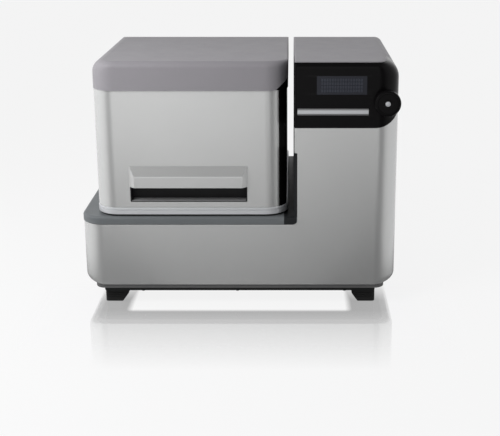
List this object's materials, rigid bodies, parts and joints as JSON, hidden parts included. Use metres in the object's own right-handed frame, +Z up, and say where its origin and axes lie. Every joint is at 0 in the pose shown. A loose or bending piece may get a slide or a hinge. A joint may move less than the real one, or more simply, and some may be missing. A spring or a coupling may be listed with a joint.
{
  "type": "planetary ball mill",
  "caption": "Bench planetary ball mill: silver L-shaped housing with a control tower, hinged grey-topped lid over a sun wheel with a clamped jar and counterweight.",
  "frame": {"origin": "on the bench, under the middle of the housing", "axes": "+X to the operator's right, +Z up; the operator stands on the -Y side"},
  "size_m": [0.616, 0.5027, 0.484],
  "materials": {
    "silver_paint": "satin silver-grey paint",
    "grey_cover": "matt mid-grey moulding",
    "black_gloss": "glossy black moulding",
    "black_matt": "matt black plastic",
    "display": "dark display window",
    "bright_trim": "satin anodised trim",
    "board": "green circuit board",
    "steel": "machined steel",
    "plate_steel": "dark grey powder coat",
    "rubber": "black rubber",
    "dark_casting": "dark grey coated casting",
    "cast_iron": "painted cast iron",
    "motor_aluminium": "cast aluminium housing",
    "star_plastic": "black thermoset",
    "liner_plastic": "light grey moulding"
  },
  "bodies": {
    "machine": {"main_housing": "silver_paint", "tower_top_cover": "grey_cover", "control_fascia": "black_gloss", "display_glass": "display", "trim_strip": "bright_trim", "control_board": "board", "encoder_body": "black_matt", "base_plate": "plate_steel", "rubber_feet": "rubber", "chamber_surround": "dark_casting", "chamber_pan": "dark_casting", "lid_seal": "rubber", "drive_plate": "plate_steel", "frame_pillars": "steel", "bearing_cartridge": "steel", "main_belt": "rubber", "motor_body": "motor_aluminium", "inverter": "star_plastic", "back_panel": "plate_steel", "power_inlet": "black_matt", "switch_frame": "black_matt", "fan_frame": "black_matt", "hinge_base": "steel", "lock_case": "black_matt"},
    "wheel": {"sun_wheel": "cast_iron", "main_shaft": "steel", "wheel_cap": "steel", "weight_rail": "steel", "jar_belt": "rubber"},
    "station": {"station_spindle": "steel", "jar_body": "steel", "jar_lid": "steel", "clamp_yoke": "steel"},
    "clamp": {"clamp_screw": "steel"},
    "star": {"star_handle": "star_plastic"},
    "weight": {"counterweight": "cast_iron"},
    "rotor": {"motor_shaft": "steel"},
    "lid": {"lid_rail": "bright_trim", "lid_shell": "silver_paint", "lid_cheek": "black_gloss", "lid_cap": "grey_cover", "lid_liner": "liner_plastic", "handle_pocket": "black_matt", "handle_hood": "silver_paint", "hinge_arm": "steel", "lid_striker": "steel"},
    "spindle": {"encoder_shaft": "steel"},
    "knob": {"control_knob": "black_matt"},
    "rocker": {"switch_rocker": "black_matt"},
    "fan": {"fan_impeller": "black_matt"},
    "bolt": {"lock_bolt": "steel"}
  },
  "joints": [
    {"name": "sun_wheel_spin", "type": "hinge", "parent": "machine", "child": "wheel", "pos_m": [-0.09075, 0.003, 0.152], "axis": [0, 0, 1], "continuous": true},
    {"name": "jar_spin", "type": "hinge", "parent": "wheel", "child": "station", "pos_m": [-0.01675, 0.003, 0.172], "axis": [0, 0, 1], "continuous": true},
    {"name": "star_turn", "type": "hinge", "parent": "station", "child": "star", "pos_m": [-0.01675, 0.003, 0.382], "axis": [0, 0, 1], "range_deg": [0, 1441]},
    {"name": "clamp_lift", "type": "slide", "parent": "station", "child": "clamp", "axis": [0, 0, 1], "range_m": [0, 0.012]},
    {"name": "weight_shift", "type": "slide", "parent": "wheel", "child": "weight", "axis": [-1, 0, 0], "range_m": [0, 0.012]},
    {"name": "motor_spin", "type": "hinge", "parent": "machine", "child": "rotor", "pos_m": [0.2075, 0.003, 0.102], "axis": [0, 0, 1], "continuous": true},
    {"name": "lid_open", "type": "hinge", "parent": "machine", "child": "lid", "pos_m": [-0.09075, 0.242, 0.184], "axis": [-1, 0, 0], "range_deg": [0, 72]},
    {"name": "knob_press", "type": "slide", "parent": "machine", "child": "spindle", "axis": [0, 1, 0], "range_m": [0, 0.0012], "stiffness_N_per_m": 1500, "springref_m": -0.002},
    {"name": "knob_turn", "type": "hinge", "parent": "spindle", "child": "knob", "pos_m": [0.2825, -0.24, 0.408], "axis": [0, 1, 0], "continuous": true},
    {"name": "switch_tip", "type": "hinge", "parent": "machine", "child": "rocker", "pos_m": [0.229, 0.222, 0.1], "axis": [1, 0, 0], "range_deg": [-16, 0]},
    {"name": "fan_spin", "type": "hinge", "parent": "machine", "child": "fan", "pos_m": [0.193, 0.2155, 0.255], "axis": [0, 1, 0], "continuous": true},
    {"name": "bolt_throw", "type": "slide", "parent": "machine", "child": "bolt", "axis": [-1, 0, 0], "range_m": [0, 0.012]}
  ],
  "couplings": [
    {"joint": "jar_spin", "follows": "sun_wheel_spin", "ratio": -2},
    {"joint": "motor_spin", "follows": "sun_wheel_spin", "ratio": 2.5},
    {"joint": "star_turn", "follows": "clamp_lift", "rad_per_m": 2094.4}
  ]
}
